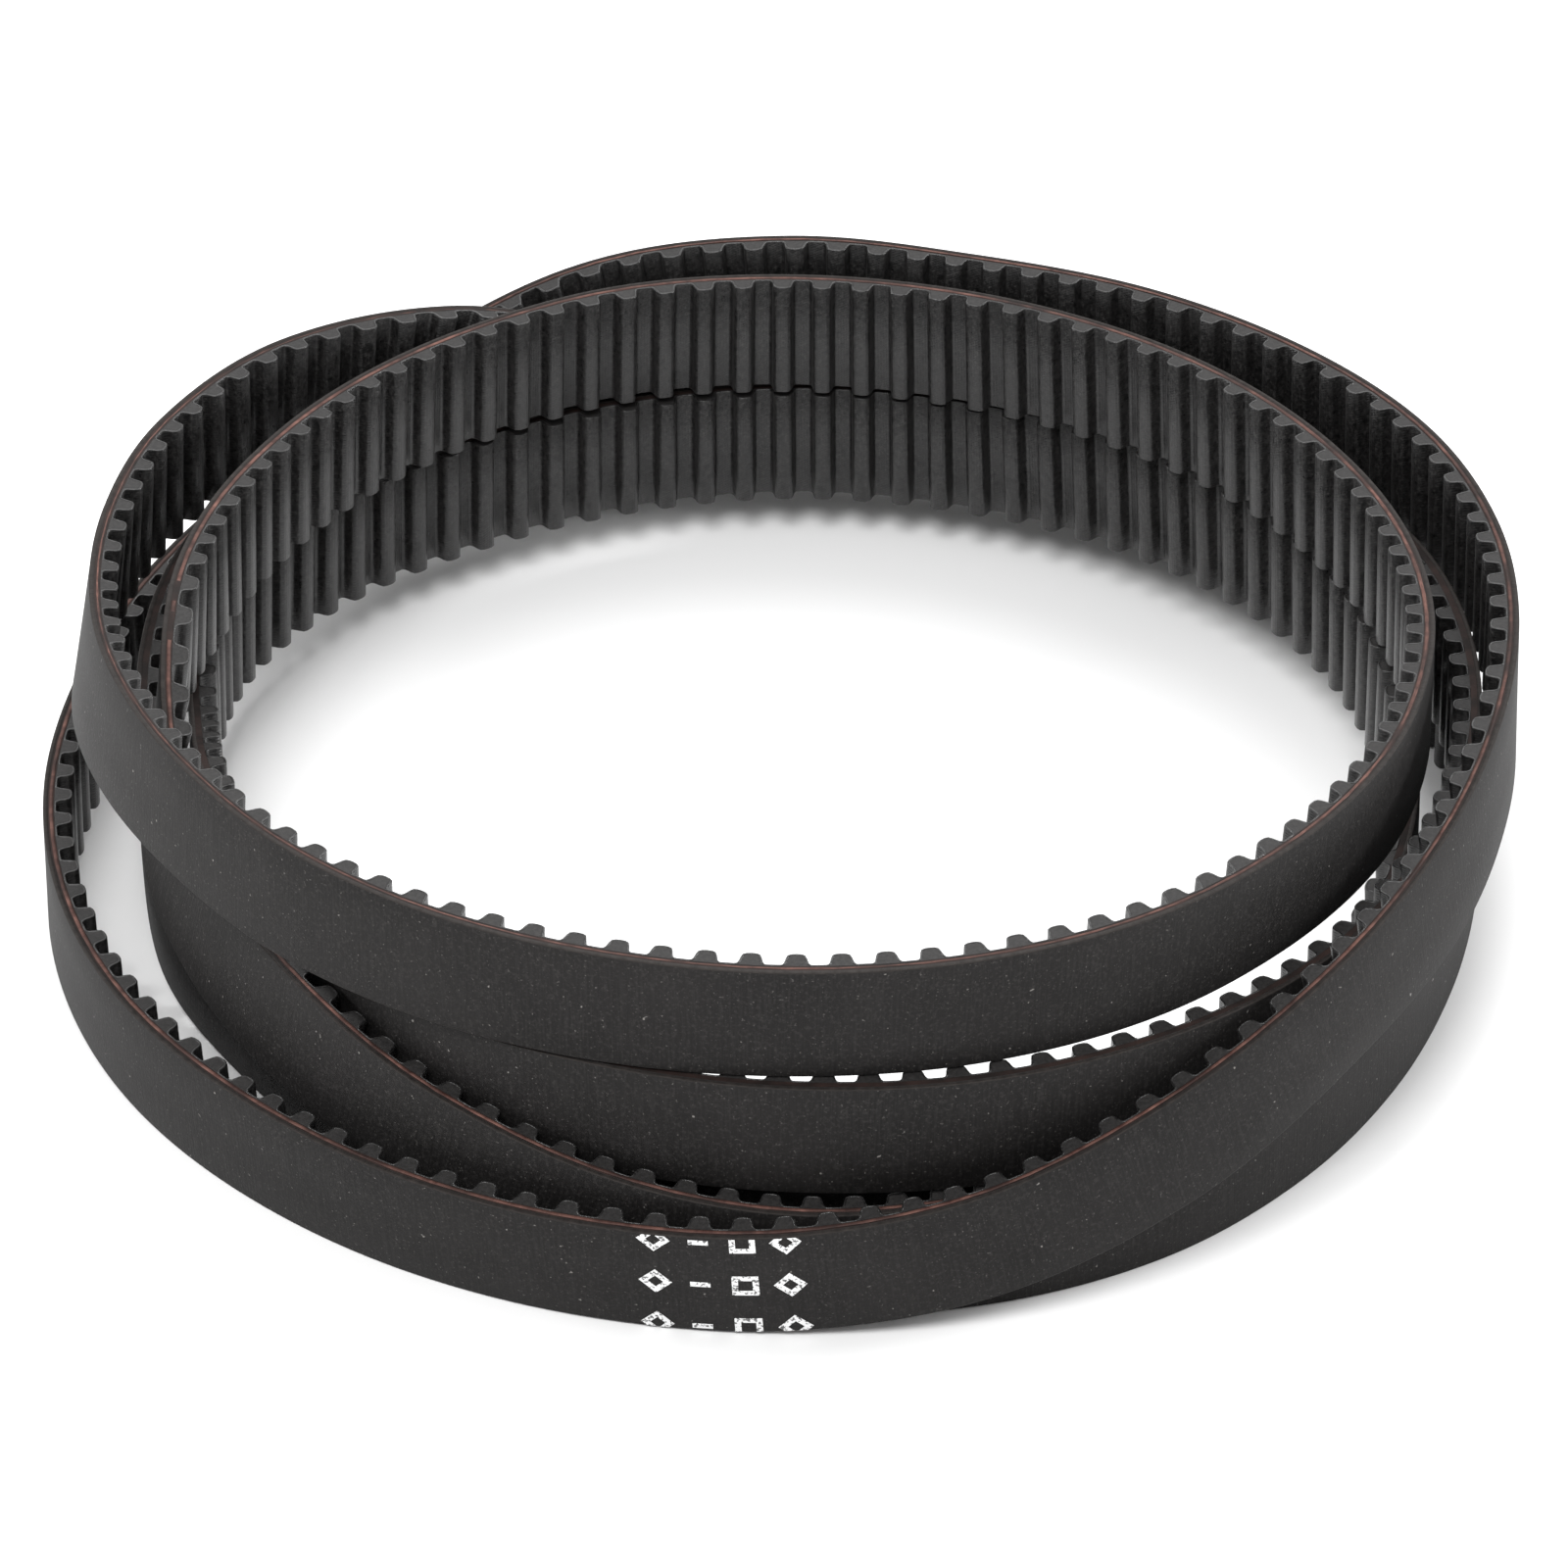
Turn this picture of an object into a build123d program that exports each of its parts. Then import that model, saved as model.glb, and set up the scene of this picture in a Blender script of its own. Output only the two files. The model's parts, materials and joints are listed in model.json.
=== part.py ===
from build123d import *
import math
import os

# Endless curved-tooth timing belt, stored as a loose coil of five turns.
# Millimetres, +Z up, +Y towards the back of the coil, travel runs left, front, right, back.
# Origin: under the middle of the coil, on the surface it rests on.

# Driving sizes
tooth_pitch = 2.0             # tooth to tooth, measured along the cord
tooth_count = 516             # round the whole belt
belt_width = 6.0
backing_thickness = 0.23      # rubber outside the cord
cord_thickness = 0.30         # one layer of wound glass cord
facing_thickness = 0.10       # nylon fabric over the toothed side
tooth_height = 0.75           # from the fabric between the teeth to the tooth tip
tooth_base_width = 1.32       # over the fabric
tooth_waist_width = 1.06      # over the fabric, half way up
tooth_shoulder_width = 0.78   # over the fabric, near the tip
ink_thickness = 0.02
ink_stand_off = 0.002         # the ink plate over the gently curved backing
mark_size = 1.5               # one printed mark
mark_stroke = 0.28
mark_row_spacing = 2.7
mark_columns = 4
mark_row_heights = (-mark_row_spacing, 0.0, mark_row_spacing)

# How the coil lies: five turns, one row per 15 degrees. Every turn starts at the left
# and goes by the front, the right and the back. A row gives, for the outer face, the
# distance from the coil axis, the height of the lower edge and the lean of the top
# edge outwards in degrees. The distances are then trued so the cord length comes out
# at tooth_pitch x tooth_count.
rows_per_turn = 24
laid_width = 6.0              # the rows clear one another for a belt this wide
laid_thickness = 1.38         # and this thick over the teeth; the turns spread with both
laid_distance = 32.5          # the turns spread in and out from this distance
turn_upper_inner = [
    (33.15, 11.0, -10), (32.6, 12.0, -8), (32.45, 12.45, -4), (32.55, 12.4, -1),
    (32.6, 12.4, 2), (32.7, 12.4, 4), (32.85, 12.42, 6), (32.9, 12.35, 6),
    (32.6, 12.3, 6), (31.9, 12.25, 5), (31.1, 11.95, 3), (30.3, 11.3, 1),
    (30.0, 10.6, 0), (30.0, 10.1, 0), (30.3, 9.7, 0), (31.0, 9.3, 0),
    (31.9, 8.9, 0), (32.8, 8.6, 0), (33.3, 8.5, 0), (33.1, 8.6, 0),
    (31.9, 8.8, 0), (30.6, 9.2, 0), (29.5, 9.7, 0), (29.0, 10.2, 0),
]
turn_falling = [
    (29.3, 10.4, -5), (30.4, 7.7, -12), (31.25, 6.1, -9), (32.2, 5.0, -4),
    (33.3, 3.3, 0), (33.6, 1.25, 5), (33.87, 0.1, 6), (34.0, 0.03, 2),
    (33.7, 0.01, 0), (32.9, 0.0, 0), (32.2, 0.0, 0), (32.0, 0.0, 0),
    (32.6, 0.0, 0), (34.2, 0.02, 0), (35.2, 0.1, 0), (35.9, 0.2, 0),
    (36.4, 0.3, 0), (36.8, 0.4, 0), (37.3, 0.5, 0), (38.1, 0.6, 0),
    (38.2, 0.7, 0), (37.5, 0.7, 0), (36.2, 0.6, 0), (35.3, 0.5, 0),
]
turn_outer = [
    (35.1, 0.3, 0), (35.0, 0.1, 2), (35.0, 0.02, 4), (35.0, 0.01, 6),
    (35.15, 0.01, 9), (35.4, 0.05, 11), (35.55, 0.25, 10), (35.8, 1.7, 5),
    (35.7, 4.4, 0), (35.4, 7.4, 0), (34.8, 9.2, -4), (34.2, 10.3, -3),
    (34.0, 10.4, 0), (34.5, 10.0, 0), (35.2, 9.6, 0), (35.5, 9.3, 0),
    (35.6, 9.15, 0), (35.6, 9.0, 0), (36.2, 9.0, 0), (36.8, 8.0, 0),
    (36.6, 5.4, 0), (35.8, 3.1, 0), (33.9, 3.1, 0), (31.9, 3.3, 0),
]
turn_lower_inner = [
    (30.6, 2.2, 0), (30.25, 0.65, 0), (29.35, 0.08, 0), (29.45, 0.01, 0),
    (30.1, 0.0, 0), (31.0, 0.0, 0), (31.5, 0.0, 0), (31.6, 0.0, 0),
    (31.3, 0.04, 0), (30.9, 0.4, 0), (30.3, 1.3, 0), (29.9, 2.5, 0),
    (29.6, 3.5, 0), (29.8, 3.9, 0), (30.5, 3.6, 0), (31.3, 3.2, 0),
    (32.3, 2.7, 0), (33.1, 2.3, 0), (33.4, 2.2, 0), (33.0, 2.2, 0),
    (32.4, 2.3, 0), (32.0, 2.5, 0), (31.0, 3.0, 0), (29.4, 3.6, 0),
]
turn_middle = [
    (28.1, 3.9, 0), (28.2, 5.9, 0), (28.9, 6.4, 0), (30.3, 6.3, 0),
    (31.7, 6.25, 4), (32.35, 6.3, 4), (33.1, 6.32, 5), (33.5, 6.2, 4),
    (33.6, 6.15, 2), (33.35, 6.1, 0), (32.8, 6.1, 0), (32.5, 6.1, 0),
    (32.4, 6.1, 0), (32.6, 6.05, 0), (33.2, 5.2, 0), (33.7, 4.1, 0),
    (34.1, 3.1, 0), (34.6, 2.8, 0), (34.9, 2.8, 0), (34.6, 5.2, 0),
    (34.2, 8.8, 0), (35.1, 9.8, 0), (34.8, 10.0, -1), (33.8, 10.4, -5),
]

lie_rows = turn_upper_inner + turn_falling + turn_outer + turn_lower_inner + turn_middle

cord_depth = backing_thickness + cord_thickness / 2
facing_depth = backing_thickness + cord_thickness
land_depth = facing_depth + facing_thickness
belt_thickness = land_depth + tooth_height


def smooth_value(column, place):
    """Value of one column of the lie, smoothly between the rows and round the closed belt."""
    first = math.floor(place)
    share = place - first
    a, b, c, d = (lie_rows[(first + k) % len(lie_rows)][column] for k in (-1, 0, 1, 2))
    bend = 2 * a - 5 * b + 4 * c - d + share * (3 * (b - c) + d - a)
    return b + 0.5 * share * (c - a + share * bend)


def lie_point(place, trueing):
    """Middle of the outer face and the leaning width direction at one place."""
    angle = math.radians(place * 360 / rows_per_turn - 90)
    lean = math.radians(smooth_value(2, place))
    outwards = Vector(math.sin(angle), -math.cos(angle), 0)
    width_way = outwards * math.sin(lean) + Vector(0, 0, 1) * math.cos(lean)
    lift = smooth_value(1, place) * belt_width / laid_width + belt_width / 2 * math.cos(lean)
    spread = (smooth_value(0, place) - laid_distance) * belt_thickness / laid_thickness
    return outwards * ((laid_distance + spread) * trueing) + Vector(0, 0, lift), width_way


def station(place, trueing):
    """Middle of the outer face, the width direction and the outward direction."""
    middle, leaning = lie_point(place, trueing)
    ahead = (lie_point(place + 0.02, trueing)[0] - lie_point(place - 0.02, trueing)[0]).normalized()
    width_way = (leaning - ahead * leaning.dot(ahead)).normalized()
    return middle, width_way, ahead.cross(width_way)


def cord_lengths(trueing, steps_per_row=12):
    """Running length of the cord line at even places round the belt."""
    steps = len(lie_rows) * steps_per_row
    running = [0.0]
    last = None
    for step in range(steps + 1):
        middle, width_way, outwards = station(step / steps_per_row, trueing)
        here = middle - outwards * cord_depth
        if last is not None:
            running.append(running[-1] + (here - last).length)
        last = here
    return running


belt_length = tooth_pitch * tooth_count
trueing = 1.0
for attempt in range(4):
    trueing *= belt_length / cord_lengths(trueing)[-1]
running_lengths = cord_lengths(trueing)
unit_length = running_lengths[-1] / tooth_count
steps_per_row = (len(running_lengths) - 1) / len(lie_rows)

# One station in the middle of every gap between two teeth
station_places = []
step = 0
for number in range(tooth_count):
    while running_lengths[step + 1] < number * unit_length:
        step += 1
    part_step = (number * unit_length - running_lengths[step]) / (
        running_lengths[step + 1] - running_lengths[step]
    )
    station_places.append((step + part_step) / steps_per_row)
stations = [station(place, trueing) for place in station_places]


def corner(number, depth, side):
    """A point in a station's section: depth under the outer face, side -1 low or 1 high edge."""
    middle, width_way, outwards = stations[number % tooth_count]
    return middle - outwards * depth + width_way * (side * belt_width / 2)


# Move the coil so that it stands on z = 0 with its footprint centred on the origin
outer_corners = [
    corner(number, depth, side)
    for number in range(tooth_count)
    for depth in (0, backing_thickness)
    for side in (-1, 1)
]
to_origin = Vector(
    -(min(p.X for p in outer_corners) + max(p.X for p in outer_corners)) / 2,
    -(min(p.Y for p in outer_corners) + max(p.Y for p in outer_corners)) / 2,
    -min(p.Z for p in outer_corners),
)
stations = [(middle + to_origin, width_way, outwards) for middle, width_way, outwards in stations]


def straight(start, end):
    return Edge.make_line(start, end)


def ruled(low_edge, high_edge):
    return Face.make_surface_from_curves(low_edge, high_edge)


def patch(start, end, far_end, far_start):
    """A four-cornered face: flat where its corners lie in one plane, else gently twisted."""
    across = (end - start).cross(far_start - start).normalized()
    if abs((far_end - start).dot(across)) < 1e-6:
        return Face(Wire.make_polygon([start, end, far_end, far_start], close=True))
    return ruled(straight(start, end), straight(far_start, far_end))


def ring_layer(outer_depth, inner_depth):
    """A closed flat layer of the belt between two depths."""
    faces = []
    edges_round = ((outer_depth, -1), (outer_depth, 1), (inner_depth, 1), (inner_depth, -1))
    for number in range(tooth_count):
        for (depth, side), (next_depth, next_side) in zip(
            edges_round, edges_round[1:] + edges_round[:1]
        ):
            faces.append(
                patch(
                    corner(number, depth, side),
                    corner(number + 1, depth, side),
                    corner(number + 1, next_depth, next_side),
                    corner(number, next_depth, next_side),
                )
            )
    return Solid(Shell(faces))


def tooth_plane(number, side):
    """Plane of one tooth profile on one belt edge: x along the belt, y into the tooth."""
    start = corner(number, facing_depth, side)
    end = corner(number + 1, facing_depth, side)
    along = (end - start).normalized()
    outwards = (stations[number][2] + stations[(number + 1) % tooth_count][2]).normalized()
    inwards = (along * outwards.dot(along) - outwards).normalized()
    return Plane(origin=(start + end) / 2, x_dir=along, z_dir=along.cross(inwards))


def tooth_outline(cover):
    """Half widths and heights of a tooth over the cord layer, with or without its fabric."""
    trim = facing_thickness - cover
    base = tooth_base_width / 2 - trim * 0.8
    waist = tooth_waist_width / 2 - trim
    shoulder = tooth_shoulder_width / 2 - trim * 0.75
    return [
        (-base, cover),
        (-waist - 0.02, cover + tooth_height * 0.28),
        (-waist + 0.05, facing_thickness + tooth_height * 0.56 - trim * 0.2),
        (-shoulder, facing_thickness + tooth_height * 0.87 - trim * 0.7),
        (0, cover + tooth_height),
        (shoulder, facing_thickness + tooth_height * 0.87 - trim * 0.7),
        (waist - 0.05, facing_thickness + tooth_height * 0.56 - trim * 0.2),
        (waist + 0.02, cover + tooth_height * 0.28),
        (base, cover),
    ]


def facing_sheet():
    """The fabric as one closed sheet: flat on the cord layer and humped over every tooth."""
    faces = []
    under = tooth_outline(0)
    over = tooth_outline(facing_thickness)
    for number in range(tooth_count):
        strips = {}
        for side in (-1, 1):
            plane = tooth_plane(number, side)
            below = [plane.from_local_coords(Vector(x, y, 0)) for x, y in under]
            above = [plane.from_local_coords(Vector(x, y, 0)) for x, y in over]
            strips[side] = [
                (
                    straight(corner(number, facing_depth, side), below[0]),
                    straight(corner(number, land_depth, side), above[0]),
                ),
                (Edge.make_spline(below), Edge.make_spline(above)),
                (
                    straight(below[-1], corner(number + 1, facing_depth, side)),
                    straight(above[-1], corner(number + 1, land_depth, side)),
                ),
            ]
        for (low_below, low_above), (high_below, high_above) in zip(strips[-1], strips[1]):
            faces.append(ruled(low_below, high_below))
            faces.append(ruled(low_above, high_above))
            faces.append(ruled(low_below, low_above))
            faces.append(ruled(high_below, high_above))
    return Solid(Shell(faces))


def tooth_core(number):
    """The rubber inside one tooth, between the cord layer and the fabric."""
    outline = tooth_outline(0)
    with BuildPart() as core:
        for side in (-1, 1):
            with BuildSketch(tooth_plane(number, side)):
                with BuildLine():
                    Spline(*outline)
                    Line(outline[-1], outline[0])
                make_face()
        loft(ruled=True)
    return core.solid()


def facet_plane(number, height):
    """Plane on the outer face between two stations: x along the belt, y up, z outwards."""
    low = (corner(number, 0, -1) + corner(number + 1, 0, -1)) / 2
    high = (corner(number, 0, 1) + corner(number + 1, 0, 1)) / 2
    along = (corner(number + 1, 0, 0) - corner(number, 0, 0)).normalized()
    upwards = (high - low).normalized()
    outwards = along.cross(upwards).normalized()
    origin = (low + high) / 2 + outwards * ink_stand_off + upwards * height
    return Plane(origin=origin, x_dir=along, z_dir=outwards)


with BuildPart() as backing:
    add(ring_layer(0, backing_thickness))

with BuildPart() as cord:
    add(ring_layer(backing_thickness, facing_depth))

with BuildPart() as cores:
    add([tooth_core(number) for number in range(tooth_count)])

with BuildPart() as facing:
    add(facing_sheet())

# Printed marks on the outer face, at the front of the lowest turn: a diamond outline,
# a dash, a square outline and a diamond, in three rows of which the belt edges crop two
print_start = min(
    range(tooth_count), key=lambda number: abs(station_places[number] - 2.22 * rows_per_turn)
)
with BuildPart() as marks:
    for column in range(mark_columns):
        for height in mark_row_heights:
            with BuildSketch(facet_plane(print_start + column, height)):
                if column == 1:
                    Rectangle(mark_size * 0.6, mark_stroke)
                elif column == 2:
                    Rectangle(mark_size * 0.8, mark_size * 0.8)
                    Rectangle(
                        mark_size * 0.8 - 2 * mark_stroke,
                        mark_size * 0.8 - 2 * mark_stroke,
                        mode=Mode.SUBTRACT,
                    )
                else:
                    RegularPolygon(mark_size / 2, 4)
                    RegularPolygon(mark_size / 2 - mark_stroke * math.sqrt(2), 4, mode=Mode.SUBTRACT)
                with Locations((0, -height)):
                    Rectangle(tooth_pitch, belt_width - 0.1, mode=Mode.INTERSECT)
            extrude(amount=ink_thickness)

backing.part.label = "backing_rubber"
cord.part.label = "tension_cord_layer"
cores.part.label = "tooth_cores"
facing.part.label = "tooth_facing_fabric"
marks.part.label = "printed_marks"

os.makedirs("parts", exist_ok=True)
export_step(backing.part, "parts/backing_rubber.step")
export_step(cord.part, "parts/tension_cord_layer.step")
export_step(cores.part, "parts/tooth_cores.step")
export_step(facing.part, "parts/tooth_facing_fabric.step")
export_step(marks.part, "parts/printed_marks.step")
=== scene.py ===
import json
import math

import bmesh
import bpy
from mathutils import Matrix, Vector

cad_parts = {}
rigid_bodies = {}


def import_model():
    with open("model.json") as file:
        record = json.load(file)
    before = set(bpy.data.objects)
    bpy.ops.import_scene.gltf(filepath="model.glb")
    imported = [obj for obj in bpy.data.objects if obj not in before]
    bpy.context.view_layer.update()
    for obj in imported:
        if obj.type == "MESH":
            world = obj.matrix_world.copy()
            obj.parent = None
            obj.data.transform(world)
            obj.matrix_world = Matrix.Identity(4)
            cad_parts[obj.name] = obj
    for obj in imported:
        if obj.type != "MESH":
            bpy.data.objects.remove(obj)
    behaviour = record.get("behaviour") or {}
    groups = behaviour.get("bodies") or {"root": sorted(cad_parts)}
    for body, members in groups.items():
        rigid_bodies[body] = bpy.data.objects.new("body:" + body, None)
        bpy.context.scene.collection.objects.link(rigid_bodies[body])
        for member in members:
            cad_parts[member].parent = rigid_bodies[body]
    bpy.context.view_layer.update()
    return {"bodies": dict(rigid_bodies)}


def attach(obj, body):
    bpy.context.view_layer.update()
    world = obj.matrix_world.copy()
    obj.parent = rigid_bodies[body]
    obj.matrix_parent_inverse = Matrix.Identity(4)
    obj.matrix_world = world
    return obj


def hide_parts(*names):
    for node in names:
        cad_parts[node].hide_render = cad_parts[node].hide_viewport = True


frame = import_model()
scene = bpy.context.scene
print("frame loaded")

# How the belt lies: sizes in metres, steps per pitch for the route
belt = {
    "pitch": 0.002,
    "teeth": 516,
    "width": 0.006,
    "backing": 0.00023,
    "cordLayer": 0.0003,
    "facing": 0.0001,
    "stepsPerPitch": 6,
}

# Five turns, one row per 15 degrees from the left by the front: distance of the outer
# face from the coil axis, height of the lower edge, lean of the top outwards in degrees
upperInnerTurn = [
    (0.0331, 0.011, -10), (0.0326, 0.012, -8), (0.0324, 0.01245, -4), (0.0325, 0.0124, -1),
    (0.0326, 0.0124, 2), (0.0327, 0.0124, 4), (0.0329, 0.01242, 6), (0.0329, 0.01235, 6),
    (0.0326, 0.0123, 6), (0.0319, 0.01225, 5), (0.0311, 0.01195, 3), (0.0303, 0.0113, 1),
    (0.0300, 0.0106, 0), (0.0300, 0.0101, 0), (0.0303, 0.0097, 0), (0.0310, 0.0093, 0),
    (0.0319, 0.0089, 0), (0.0328, 0.0086, 0), (0.0333, 0.0085, 0), (0.0331, 0.0086, 0),
    (0.0319, 0.0088, 0), (0.0306, 0.0092, 0), (0.0295, 0.0097, 0), (0.0290, 0.0102, 0),
]
fallingTurn = [
    (0.0293, 0.0104, -5), (0.0304, 0.0077, -12), (0.0312, 0.0061, -9), (0.0322, 0.005, -4),
    (0.0333, 0.0033, 0), (0.0336, 0.00125, 5), (0.0339, 0.0001, 6), (0.0340, 0.00003, 2),
    (0.0337, 0.00001, 0), (0.0329, 0, 0), (0.0322, 0, 0), (0.0320, 0, 0),
    (0.0326, 0, 0), (0.0342, 0.00002, 0), (0.0352, 0.0001, 0), (0.0359, 0.0002, 0),
    (0.0364, 0.0003, 0), (0.0368, 0.0004, 0), (0.0373, 0.0005, 0), (0.0381, 0.0006, 0),
    (0.0382, 0.0007, 0), (0.0375, 0.0007, 0), (0.0362, 0.0006, 0), (0.0353, 0.0005, 0),
]
outerTurn = [
    (0.0351, 0.0003, 0), (0.0350, 0.0001, 2), (0.0350, 0.00002, 4), (0.0350, 0.00001, 6),
    (0.0352, 0.00001, 9), (0.0354, 0.00005, 11), (0.0355, 0.00025, 10), (0.0358, 0.0017, 5),
    (0.0357, 0.0044, 0), (0.0354, 0.0074, 0), (0.0348, 0.0092, -4), (0.0342, 0.0103, -3),
    (0.0340, 0.0104, 0), (0.0345, 0.01, 0), (0.0352, 0.0096, 0), (0.0355, 0.0093, 0),
    (0.0356, 0.00915, 0), (0.0356, 0.009, 0), (0.0362, 0.009, 0), (0.0368, 0.008, 0),
    (0.0366, 0.0054, 0), (0.0358, 0.0031, 0), (0.0339, 0.0031, 0), (0.0319, 0.0033, 0),
]
lowerInnerTurn = [
    (0.0306, 0.0022, 0), (0.0302, 0.00065, 0), (0.0294, 0.00008, 0), (0.0295, 0.00001, 0),
    (0.0301, 0, 0), (0.0310, 0, 0), (0.0315, 0, 0), (0.0316, 0, 0),
    (0.0313, 0.00004, 0), (0.0309, 0.0004, 0), (0.0303, 0.0013, 0), (0.0299, 0.0025, 0),
    (0.0296, 0.0035, 0), (0.0298, 0.0039, 0), (0.0305, 0.0036, 0), (0.0313, 0.0032, 0),
    (0.0323, 0.0027, 0), (0.0331, 0.0023, 0), (0.0334, 0.0022, 0), (0.0330, 0.0022, 0),
    (0.0324, 0.0023, 0), (0.0320, 0.0025, 0), (0.0310, 0.003, 0), (0.0294, 0.0036, 0),
]
middleTurn = [
    (0.0281, 0.0039, 0), (0.0282, 0.0059, 0), (0.0289, 0.0064, 0), (0.0303, 0.0063, 0),
    (0.0317, 0.00625, 4), (0.0324, 0.0063, 4), (0.0331, 0.00632, 5), (0.0335, 0.0062, 4),
    (0.0336, 0.00615, 2), (0.0334, 0.0061, 0), (0.0328, 0.0061, 0), (0.0325, 0.0061, 0),
    (0.0324, 0.0061, 0), (0.0326, 0.00605, 0), (0.0332, 0.0052, 0), (0.0337, 0.0041, 0),
    (0.0341, 0.0031, 0), (0.0346, 0.0028, 0), (0.0349, 0.0028, 0), (0.0346, 0.0052, 0),
    (0.0342, 0.0088, 0), (0.0351, 0.0098, 0), (0.0348, 0.01, -1), (0.0338, 0.0104, -5),
]
lieRows = upperInnerTurn + fallingTurn + outerTurn + lowerInnerTurn + middleTurn
rowsPerTurn = 24
cordDepth = belt["backing"] + belt["cordLayer"] / 2
facingDepth = belt["backing"] + belt["cordLayer"]


def smoothValue(column, place):
    first = math.floor(place)
    share = place - first
    a, b, c, d = (lieRows[(first + k) % len(lieRows)][column] for k in (-1, 0, 1, 2))
    bend = 2 * a - 5 * b + 4 * c - d + share * (3 * (b - c) + d - a)
    return b + 0.5 * share * (c - a + share * bend)


def liePoint(place, trueing):
    angle = math.radians(place * 360 / rowsPerTurn - 90)
    lean = math.radians(smoothValue(2, place))
    outwards = Vector((math.sin(angle), -math.cos(angle), 0))
    widthWay = outwards * math.sin(lean) + Vector((0, 0, math.cos(lean)))
    lift = smoothValue(1, place) + belt["width"] / 2 * math.cos(lean)
    return outwards * (smoothValue(0, place) * trueing) + Vector((0, 0, lift)), widthWay


def station(place, trueing):
    middle, leaning = liePoint(place, trueing)
    ahead = (liePoint(place + 0.02, trueing)[0] - liePoint(place - 0.02, trueing)[0]).normalized()
    widthWay = (leaning - ahead * leaning.dot(ahead)).normalized()
    return middle, widthWay, ahead.cross(widthWay)


def cordLengths(trueing):
    running, last = [0.0], None
    for step in range(len(lieRows) * 12 + 1):
        middle, widthWay, outwards = station(step / 12, trueing)
        here = middle - outwards * cordDepth
        if last is not None:
            running.append(running[-1] + (here - last).length)
        last = here
    return running


trueing = 1.0
for attempt in range(4):
    trueing *= belt["pitch"] * belt["teeth"] / cordLengths(trueing)[-1]
running = cordLengths(trueing)
frames = []  # middle of the outer face, width way, outward way, six to a pitch
places = []
step = 0
for number in range(belt["teeth"] * belt["stepsPerPitch"]):
    along = number * running[-1] / (belt["teeth"] * belt["stepsPerPitch"])
    while running[step + 1] < along:
        step += 1
    place = (step + (along - running[step]) / (running[step + 1] - running[step])) / 12
    places.append(place)
    frames.append(station(place, trueing))

corners = [
    middle - outwards * depth + widthWay * side * belt["width"] / 2
    for middle, widthWay, outwards in frames[:: belt["stepsPerPitch"]]
    for depth in (0, belt["backing"])
    for side in (-1, 1)
]
toOrigin = Vector((
    -(min(p.x for p in corners) + max(p.x for p in corners)) / 2,
    -(min(p.y for p in corners) + max(p.y for p in corners)) / 2,
    -min(p.z for p in corners),
))
frames = [(middle + toOrigin, widthWay, outwards) for middle, widthWay, outwards in frames]


# along in pitches, depth under the outer face and across from mid width in metres
def onBelt(along, depth, across):
    spot = along * belt["stepsPerPitch"]
    first = math.floor(spot)
    share = spot - first
    a = frames[first % len(frames)]
    b = frames[(first + 1) % len(frames)]
    middle = a[0].lerp(b[0], share)
    outwards = a[2].lerp(b[2], share)
    widthWay = a[1].lerp(b[1], share)
    return middle - outwards * depth + widthWay * across


print("belt lies in five turns, trueing", round(trueing, 4))

bodyName = next(iter(frame["bodies"]))


def newMaterial(name, rough, specular, sheen=0.0):
    material = bpy.data.materials.new(name)
    material.use_nodes = True
    nodes = material.node_tree.nodes
    shader = nodes["Principled BSDF"]
    shader.inputs["Roughness"].default_value = rough
    shader.inputs["Specular IOR Level"].default_value = specular
    shader.inputs["Sheen Weight"].default_value = sheen
    shader.inputs["Sheen Roughness"].default_value = 0.4
    return material, nodes, material.node_tree.links, shader


def mathNode(nodes, links, operation, a, b=0.0, c=None):
    node = nodes.new("ShaderNodeMath")
    node.operation = operation
    for socket, value in zip(node.inputs, (a, b, c)):
        if value is None:
            continue
        if isinstance(value, (int, float)):
            socket.default_value = value
        else:
            links.new(value, socket)
    return node.outputs[0]


def mixColour(nodes, links, share, a, b):
    node = nodes.new("ShaderNodeMix")
    node.data_type = "RGBA"
    for socket, value in zip((node.inputs[0], node.inputs[6], node.inputs[7]), (share, a, b)):
        if isinstance(value, float):
            socket.default_value = value
        elif isinstance(value, tuple):
            socket.default_value = (*value, 1)
        else:
            links.new(value, socket)
    return node.outputs[2]


def ramp(nodes, links, value, low, high):
    node = nodes.new("ShaderNodeMapRange")
    node.inputs["From Min"].default_value = low
    node.inputs["From Max"].default_value = high
    links.new(value, node.inputs["Value"])
    return node.outputs["Result"]


def noise(nodes, links, vector, scale, detail=2.0, rough=0.5):
    node = nodes.new("ShaderNodeTexNoise")
    node.inputs["Scale"].default_value = scale
    node.inputs["Detail"].default_value = detail
    node.inputs["Roughness"].default_value = rough
    links.new(vector, node.inputs["Vector"])
    return node.outputs["Fac"]


def stretched(nodes, links, vector, scale):
    node = nodes.new("ShaderNodeMapping")
    node.inputs["Scale"].default_value = scale
    links.new(vector, node.inputs["Vector"])
    return node.outputs["Vector"]


def objectPlace(nodes):
    return nodes.new("ShaderNodeTexCoord").outputs["Object"]


def beltPlace(nodes):
    node = nodes.new("ShaderNodeUVMap")
    node.uv_map = "beltMap"
    return node.outputs["UV"]


def cutMask(nodes):
    node = nodes.new("ShaderNodeAttribute")
    node.attribute_name = "cutEdge"
    return node.outputs["Fac"]


def bump(nodes, links, shader, height, distance, strength=1.0):
    node = nodes.new("ShaderNodeBump")
    node.inputs["Distance"].default_value = distance
    node.inputs["Strength"].default_value = strength
    links.new(height, node.inputs["Height"])
    links.new(node.outputs["Normal"], shader.inputs["Normal"])


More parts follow.
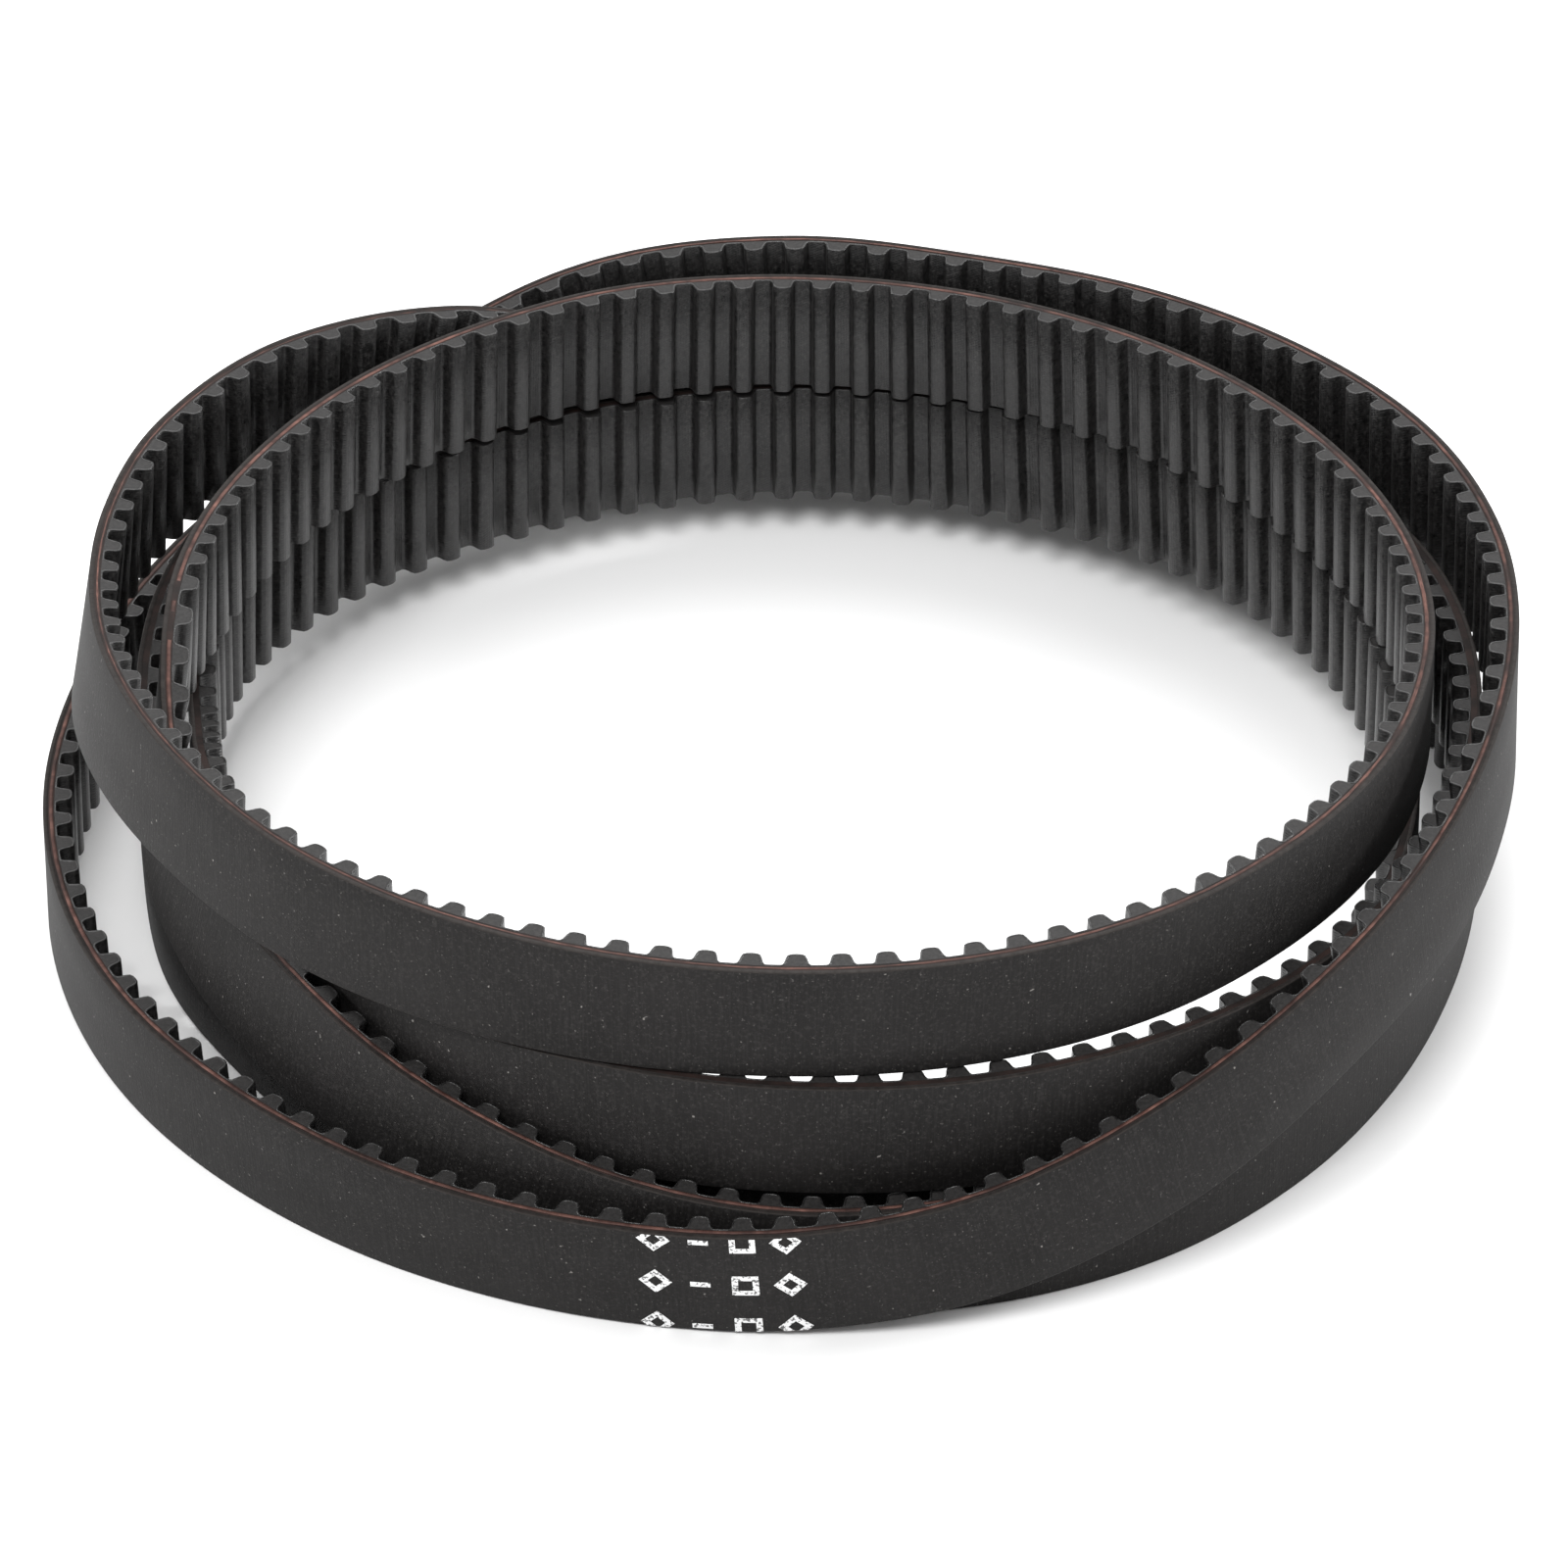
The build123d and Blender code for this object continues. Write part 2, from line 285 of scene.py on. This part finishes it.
# Ground rubber back: charcoal with a dusty bloom, fine marks across the width, pale specks
def makeBackRubber():
    material, nodes, links, shader = newMaterial("backRubber", 0.7, 0.2, 0.02)
    here, along = objectPlace(nodes), beltPlace(nodes)
    bloom = ramp(nodes, links, noise(nodes, links, here, 190, 3), 0.35, 0.7)
    grain = noise(nodes, links, here, 5200, 3, 0.65)
    ground = noise(nodes, links, stretched(nodes, links, along, (9000, 420, 1)), 1.0, 2)
    colour = mixColour(nodes, links, bloom, (0.0072, 0.0065, 0.0063), (0.011, 0.0099, 0.0097))
    streaks = ramp(nodes, links, ground, 0.45, 0.85)
    colour = mixColour(nodes, links, streaks, colour, (0.017, 0.0158, 0.0155))
    paleGrain = ramp(nodes, links, grain, 0.5, 0.9)
    colour = mixColour(nodes, links, paleGrain, colour, (0.04, 0.037, 0.036))
    specks = ramp(nodes, links, noise(nodes, links, here, 4200, 1, 0.4), 0.76, 0.83)
    colour = mixColour(nodes, links, specks, colour, (0.2, 0.19, 0.18))
    dust = ramp(nodes, links, noise(nodes, links, here, 8200, 1, 0.4), 0.69, 0.78)
    colour = mixColour(nodes, links, dust, colour, (0.065, 0.061, 0.058))
    sawn = noise(nodes, links, stretched(nodes, links, along, (2500, 42000, 1)), 1.0, 2)
    sawMarks = ramp(nodes, links, sawn, 0.3, 0.7)
    edgeTone = mixColour(nodes, links, sawMarks, (0.012, 0.0098, 0.0088), (0.028, 0.0235, 0.0215))
    colour = mixColour(nodes, links, cutMask(nodes), colour, edgeTone)
    links.new(colour, shader.inputs["Base Color"])
    links.new(ramp(nodes, links, grain, -1.8, 1.6), shader.inputs["Roughness"])
    height = mathNode(nodes, links, "ADD", grain, mathNode(nodes, links, "MULTIPLY", ground, 0.8))
    bump(nodes, links, shader, height, 0.00002, 0.7)
    return material


# Rubber round the cords, seen only as a line on the cut edges
def makeBedRubber():
    material, nodes, links, shader = newMaterial("bedRubber", 0.7, 0.2)
    here = objectPlace(nodes)
    stain = ramp(nodes, links, noise(nodes, links, here, 900, 3), 0.35, 0.7)
    colour = mixColour(nodes, links, stain, (0.010, 0.0068, 0.006), (0.028, 0.0155, 0.013))
    links.new(colour, shader.inputs["Base Color"])
    bump(nodes, links, shader, noise(nodes, links, here, 6000, 2), 0.00002, 0.6)
    return material


# Reddish treated glass cord: fine filaments along it, smeared with rubber in places
def makeGlassCord():
    material, nodes, links, shader = newMaterial("glassCord", 0.65, 0.25)
    along, here = beltPlace(nodes), objectPlace(nodes)
    filament = noise(nodes, links, stretched(nodes, links, along, (1500, 38000, 1)), 1.0, 3, 0.6)
    strands = ramp(nodes, links, filament, 0.3, 0.72)
    colour = mixColour(nodes, links, strands, (0.045, 0.017, 0.013), (0.18, 0.088, 0.07))
    smear = ramp(nodes, links, noise(nodes, links, here, 260, 4, 0.6), 0.42, 0.66)
    colour = mixColour(nodes, links, smear, colour, (0.020, 0.0105, 0.009))
    links.new(colour, shader.inputs["Base Color"])
    bump(nodes, links, shader, filament, 0.00003, 0.8)
    return material


# Nylon over the teeth: a fine even weave, slightly glossy where it has been pressed
def makeToothFabric():
    material, nodes, links, shader = newMaterial("toothFabric", 0.42, 0.5, 0.02)
    along, here = beltPlace(nodes), objectPlace(nodes)
    parts = nodes.new("ShaderNodeSeparateXYZ")
    links.new(along, parts.inputs[0])
    crossing = mathNode(nodes, links, "MULTIPLY", parts.outputs[0], math.tau * 7000)
    warp = mathNode(nodes, links, "SINE", crossing)
    shift = mathNode(nodes, links, "MULTIPLY", parts.outputs[0], math.tau * 3500)
    weft = mathNode(
        nodes, links, "SINE",
        mathNode(nodes, links, "MULTIPLY_ADD", parts.outputs[1], math.tau * 7200, shift),
    )
    weave = mathNode(nodes, links, "MAXIMUM", warp, weft)
    grain = noise(nodes, links, here, 6500, 3, 0.7)
    worn = ramp(nodes, links, noise(nodes, links, here, 420, 3), 0.35, 0.75)
    colour = mixColour(nodes, links, worn, (0.008, 0.0076, 0.0076), (0.018, 0.0171, 0.0171))
    paleThreads = ramp(nodes, links, grain, 0.47, 0.76)
    colour = mixColour(nodes, links, paleThreads, colour, (0.062, 0.0595, 0.058))
    pits = ramp(nodes, links, noise(nodes, links, here, 3000, 2, 0.5), 0.43, 0.35)
    colour = mixColour(nodes, links, pits, colour, (0.003, 0.003, 0.003))
    betweenThreads = ramp(nodes, links, weave, 1.6, -1.2)
    colour = mixColour(nodes, links, betweenThreads, colour, (0.006, 0.0058, 0.0058))
    links.new(colour, shader.inputs["Base Color"])
    links.new(ramp(nodes, links, grain, -0.35, 2.2), shader.inputs["Roughness"])
    height = mathNode(nodes, links, "MULTIPLY_ADD", weave, 0.35, grain)
    bump(nodes, links, shader, height, 0.00002, 0.6)
    return material


# Cut ends of the teeth
def makeCoreRubber():
    material, nodes, links, shader = newMaterial("coreRubber", 0.6, 0.28)
    here = objectPlace(nodes)
    grain = noise(nodes, links, here, 6000, 3, 0.6)
    cutGrain = ramp(nodes, links, grain, 0.35, 0.75)
    colour = mixColour(nodes, links, cutGrain, (0.0125, 0.0117, 0.0115), (0.027, 0.0255, 0.025))
    links.new(colour, shader.inputs["Base Color"])
    bump(nodes, links, shader, grain, 0.00002, 0.7)
    return material


# White ink, broken where it missed the rubber
def makeWhiteInk():
    material, nodes, links, shader = newMaterial("whiteInk", 0.55, 0.3)
    here = objectPlace(nodes)
    missed = ramp(nodes, links, noise(nodes, links, here, 6400, 2, 0.6), 0.47, 0.4)
    colour = mixColour(nodes, links, missed, (0.82, 0.82, 0.82), (0.12, 0.12, 0.12))
    links.new(colour, shader.inputs["Base Color"])
    bump(nodes, links, shader, noise(nodes, links, here, 7000, 2), 0.00001, 0.6)
    return material


backRubber = makeBackRubber()
bedRubber = makeBedRubber()
glassCord = makeGlassCord()
toothFabric = makeToothFabric()
coreRubber = makeCoreRubber()
whiteInk = makeWhiteInk()
print("materials made")


def finishPiece(bm, name, nodes, material, smooth=True):
    mesh = bpy.data.meshes.new(name)
    bm.to_mesh(mesh)
    bm.free()
    mesh.shade_smooth() if smooth else mesh.shade_flat()
    mesh.materials.append(material)
    piece = bpy.data.objects.new(name, mesh)
    scene.collection.objects.link(piece)
    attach(piece, bodyName)
    if nodes:
        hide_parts(*nodes)
    print(name, len(mesh.polygons), "faces")
    return piece


# A grid rolled round the section: x counts steps along the belt, y counts section points
def rolledStrip(steps, around, spotOf, closed=True):
    bm = bmesh.new()
    bmesh.ops.create_grid(bm, x_segments=steps, y_segments=around, size=0.5)
    bmesh.ops.translate(bm, verts=bm.verts, vec=(0.5, 0.5, 0))
    bmesh.ops.scale(bm, verts=bm.verts, vec=(steps, around, 1))
    beltMap = bm.loops.layers.uv.new("beltMap")
    cutEdge = bm.verts.layers.float.new("cutEdge")
    spots = {}
    for vert in bm.verts:
        i, j = round(vert.co.x), round(vert.co.y)
        spots[vert] = spotOf(i, j % around)
    for face in bm.faces:
        for loop in face.loops:
            along, depth, across = spots[loop.vert]
            loop[beltMap].uv = (along * belt["pitch"], across)
    for vert in bm.verts:
        along, depth, across = spots[vert]
        vert[cutEdge] = 1.0 if abs(across) > belt["width"] / 2 - 0.00004 else 0.0
        vert.co = onBelt(along, depth, across)
    bmesh.ops.remove_doubles(bm, verts=bm.verts, dist=0.000001)
    if not closed:
        bmesh.ops.holes_fill(bm, edges=[e for e in bm.edges if e.is_boundary], sides=0)
    bmesh.ops.recalc_face_normals(bm, faces=bm.faces)
    return bm


# The rubber back: a thin strip with its two outer corners worn round
backing = {"steps": 3, "corner": 0.00006}
halfWidth = belt["width"] / 2
backingSection = [
    (belt["backing"], -halfWidth),
    (backing["corner"], -halfWidth),
    (backing["corner"] * 0.3, -halfWidth + backing["corner"] * 0.3),
    (0, -halfWidth + backing["corner"]),
    (0, -halfWidth * 0.33),
    (0, halfWidth * 0.33),
    (0, halfWidth - backing["corner"]),
    (backing["corner"] * 0.3, halfWidth - backing["corner"] * 0.3),
    (backing["corner"], halfWidth),
    (belt["backing"], halfWidth),
]


def backingSpot(i, j):
    return i / backing["steps"], *backingSection[j]


bm = rolledStrip(belt["teeth"] * backing["steps"], len(backingSection), backingSpot)
finishPiece(bm, "rubberBack", ["backing_rubber"], backRubber)


# The cord bed: rubber round the cords, a hair narrower than the back
bed = {"steps": 2, "inset": 0.000012}
bedSection = [
    (belt["backing"], bed["inset"] - halfWidth),
    (facingDepth, bed["inset"] - halfWidth),
    (facingDepth, halfWidth - bed["inset"]),
    (belt["backing"], halfWidth - bed["inset"]),
]


def bedSpot(i, j):
    return i / bed["steps"], *bedSection[j]


bm = rolledStrip(belt["teeth"] * bed["steps"], len(bedSection), bedSpot)
finishPiece(bm, "cordBed", ["tension_cord_layer"], bedRubber, smooth=False)


# One glass cord wound side by side through the belt, cut off flat where a lap meets an edge
cord = {"thick": 0.0002, "lap": 0.0003, "leavesAt": 71 / 120, "sides": 6}
reach = halfWidth + cord["thick"] * 0.44
cordPitches = round(2 * reach / cord["lap"] * belt["teeth"])
cordStart = cord["leavesAt"] * belt["teeth"] - cordPitches


def cordSpot(i, j):
    turn = math.tau * j / cord["sides"]
    across = -reach + 2 * reach * i / cordPitches + math.cos(turn) * cord["thick"] / 2
    across = max(-halfWidth - 0.000008, min(halfWidth + 0.000008, across))
    return cordStart + i, cordDepth + math.sin(turn) * cord["thick"] * 0.48, across


bm = rolledStrip(cordPitches, cord["sides"], cordSpot, closed=False)
finishPiece(bm, "glassCord", None, glassCord)


# Fabric over the teeth: half of one tooth, from its crest to the land between teeth
tooth = {
    "half": [
        (0, 0.00085), (0.00022, 0.00083), (0.00039, 0.00075), (0.00047, 0.00055),
        (0.00051, 0.00036), (0.00055, 0.00022), (0.00062, 0.00012), (0.00072, 0.0001),
    ],
    "edgeRound": 0.00003,
}
overTooth = [(-x, y) for x, y in tooth["half"][::-1]] + tooth["half"][1:]


# The same outline moved in by the fabric's thickness
def underOutline(outline, thick):
    moved = []
    for k, (x, y) in enumerate(outline):
        x0, y0 = outline[max(k - 1, 0)]
        x1, y1 = outline[min(k + 1, len(outline) - 1)]
        size = math.hypot(x1 - x0, y1 - y0)
        moved.append((x + (y1 - y0) / size * thick, max(y - (x1 - x0) / size * thick, 0)))
    return moved


underTooth = underOutline(overTooth, belt["facing"])
facingSection = [(0, -halfWidth), (1, -halfWidth), (1, -1), (1, 1), (1, halfWidth), (0, halfWidth)]


def facingSpot(i, j):
    number, k = divmod(i, len(overTooth))
    onFace, across = facingSection[j]
    x, y = overTooth[k] if onFace else underTooth[k]
    if abs(across) == 1:
        across *= halfWidth - tooth["edgeRound"]
    elif onFace:
        y -= tooth["edgeRound"] * 0.8
    return number + 0.5 + x / belt["pitch"], facingDepth + y, across


bm = rolledStrip(belt["teeth"] * len(overTooth), len(facingSection), facingSpot)
finishPiece(bm, "toothFabric", ["tooth_facing_fabric"], toothFabric)


# The rubber inside each tooth, one closed body to a tooth, its cut ends just short of the fabric
coreEnd = halfWidth - 0.00001
bm = bmesh.new()
bmesh.ops.create_circle(bm, cap_ends=True, segments=len(underTooth), radius=0.0003)
for vert, (x, y) in zip(list(bm.verts), underTooth):
    vert.co = (x, -coreEnd, y)
grown = bmesh.ops.extrude_face_region(bm, geom=list(bm.faces))
bmesh.ops.translate(
    bm, verts=[v for v in grown["geom"] if isinstance(v, bmesh.types.BMVert)], vec=(0, 2 * coreEnd, 0)
)
bmesh.ops.recalc_face_normals(bm, faces=bm.faces)
oneTooth = bpy.data.meshes.new("oneTooth")
bm.to_mesh(oneTooth)
bm.free()
bm = bmesh.new()
for number in range(belt["teeth"]):
    kept = len(bm.verts)
    bm.from_mesh(oneTooth)
    bm.verts.ensure_lookup_table()
    for vert in bm.verts[kept:]:
        along = number + 0.5 + vert.co.x / belt["pitch"]
        vert.co = onBelt(along, facingDepth + vert.co.z, vert.co.y)
bpy.data.meshes.remove(oneTooth)
finishPiece(bm, "toothRubber", ["tooth_cores"], coreRubber, smooth=False)


# Printed marks on the outer face: diamonds, a dash and a square, in three rows
marks = {
    "turn": 2.22, "columns": 4, "size": 0.0015, "dash": 0.0009, "square": 0.0012,
    "stroke": 0.00028, "rows": (-0.0027, 0, 0.0027), "cuts": 8, "firstCut": 0.05, "cutStep": 0.13,
    "ink": 0.00002, "standOff": 0.000002, "edge": halfWidth - 0.00005,
}


def markShape(bm, column):
    if column == 1:
        bmesh.ops.create_grid(bm, x_segments=1, y_segments=1, size=0.5)
        bmesh.ops.scale(bm, verts=bm.verts, vec=(marks["dash"], marks["stroke"], 1))
        return
    if column == 2:
        bmesh.ops.create_grid(bm, x_segments=1, y_segments=1, size=marks["square"] / 2)
    else:
        bmesh.ops.create_circle(bm, cap_ends=True, segments=4, radius=marks["size"] / 2)
    middle = list(bm.faces)
    bmesh.ops.inset_region(
        bm, faces=middle, thickness=marks["stroke"], use_boundary=True, use_even_offset=True
    )
    bmesh.ops.delete(bm, geom=middle, context="FACES")


bm = bmesh.new()
markPlace = marks["turn"] * rowsPerTurn
firstMark = min(range(belt["teeth"]), key=lambda n: abs(places[n * belt["stepsPerPitch"]] - markPlace))
for column in range(marks["columns"]):
    for height in marks["rows"]:
        one = bmesh.new()
        markShape(one, column)
        markMiddle = (firstMark + column + 0.5) * belt["pitch"]
        bmesh.ops.translate(one, verts=one.verts, vec=(markMiddle, height, 0))
        for side in (-1, 1):
            bmesh.ops.bisect_plane(
                one, geom=one.verts[:] + one.edges[:] + one.faces[:], dist=0.0000001,
                plane_co=(0, side * marks["edge"], 0), plane_no=(0, side, 0), clear_outer=True,
            )
        for cut in range(marks["cuts"]):  # so that a mark bends with the belt
            place = (firstMark + column + marks["firstCut"] + cut * marks["cutStep"]) * belt["pitch"]
            bmesh.ops.bisect_plane(
                one, geom=one.verts[:] + one.edges[:] + one.faces[:], dist=0.0000001,
                plane_co=(place, 0, 0), plane_no=(1, 0, 0),
            )
        lower = one.faces[:]
        grown = bmesh.ops.extrude_face_region(one, geom=lower, use_keep_orig=True)
        upper = [v for v in grown["geom"] if isinstance(v, bmesh.types.BMVert)]
        bmesh.ops.translate(one, verts=upper, vec=(0, 0, marks["ink"]))
        bmesh.ops.recalc_face_normals(one, faces=one.faces)
        piece = bpy.data.meshes.new("oneMark")
        one.to_mesh(piece)
        one.free()
        bm.from_mesh(piece)
        bpy.data.meshes.remove(piece)
for vert in bm.verts:
    vert.co = onBelt(vert.co.x / belt["pitch"], -marks["standOff"] - vert.co.z, vert.co.y)
bmesh.ops.recalc_face_normals(bm, faces=bm.faces)
finishPiece(bm, "whiteMarks", ["printed_marks"], whiteInk, smooth=False)


# The studio: elevation in degrees, lens in millimetres, the rest in metres and plain shares
studio = {
    "target": (0.00031, -0.0046, 0.009), "distance": 0.5, "elevation": 33.5, "lens": 246.4,
    "floor": 0.9, "world": 0.75,
}
bm = bmesh.new()
bmesh.ops.create_grid(bm, x_segments=1, y_segments=1, size=3)
floorMesh = bpy.data.meshes.new("paleFloor")
bm.to_mesh(floorMesh)
bm.free()
floor = bpy.data.objects.new("paleFloor", floorMesh)
scene.collection.objects.link(floor)
floorPaint, nodes, links, shader = newMaterial("floorPaint", 0.8, 0.2)
shader.inputs["Base Color"].default_value = (studio["floor"],) * 3 + (1,)
floorMesh.materials.append(floorPaint)


def softLight(name, place, size, power):
    light = bpy.data.lights.new(name, "AREA")
    light.shape = "DISK"
    light.size = size
    light.energy = power
    lamp = bpy.data.objects.new(name, light)
    lamp.location = place
    lamp.rotation_euler = (Vector(studio["target"]) - Vector(place)).to_track_quat("-Z", "Y").to_euler()
    scene.collection.objects.link(lamp)


# Place and size in metres, power in watts
lights = {
    "keyLeft": ((-0.15, -0.5, 0.85), 0.5, 6.8),
    "sideLeft": ((-0.9, 0.25, 0.35), 0.25, 3.2),
    "sideRight": ((0.9, 0.25, 0.35), 0.25, 5.0),
    "topBack": ((0.05, 0.55, 0.8), 0.7, 6.0),
}
for name, (place, size, power) in lights.items():
    softLight(name, place, size, power)

world = bpy.data.worlds.new("studioAir")
world.use_nodes = True
world.node_tree.nodes["Background"].inputs[0].default_value = (1, 1, 1, 1)
world.node_tree.nodes["Background"].inputs[1].default_value = studio["world"]
scene.world = world
scene.view_settings.view_transform = "Standard"

camera = bpy.data.cameras.new("studioCamera")
camera.lens = studio["lens"]
camera.sensor_width = 36
camera.clip_start = 0.01
camera.clip_end = 20
cameraObject = bpy.data.objects.new("studioCamera", camera)
tilt = math.radians(studio["elevation"])
aim = Vector(studio["target"])
cameraObject.location = aim + studio["distance"] * Vector((0, -math.cos(tilt), math.sin(tilt)))
cameraObject.rotation_euler = (aim - cameraObject.location).to_track_quat("-Z", "Y").to_euler()
scene.collection.objects.link(cameraObject)
scene.camera = cameraObject
print("floor, light and camera set")
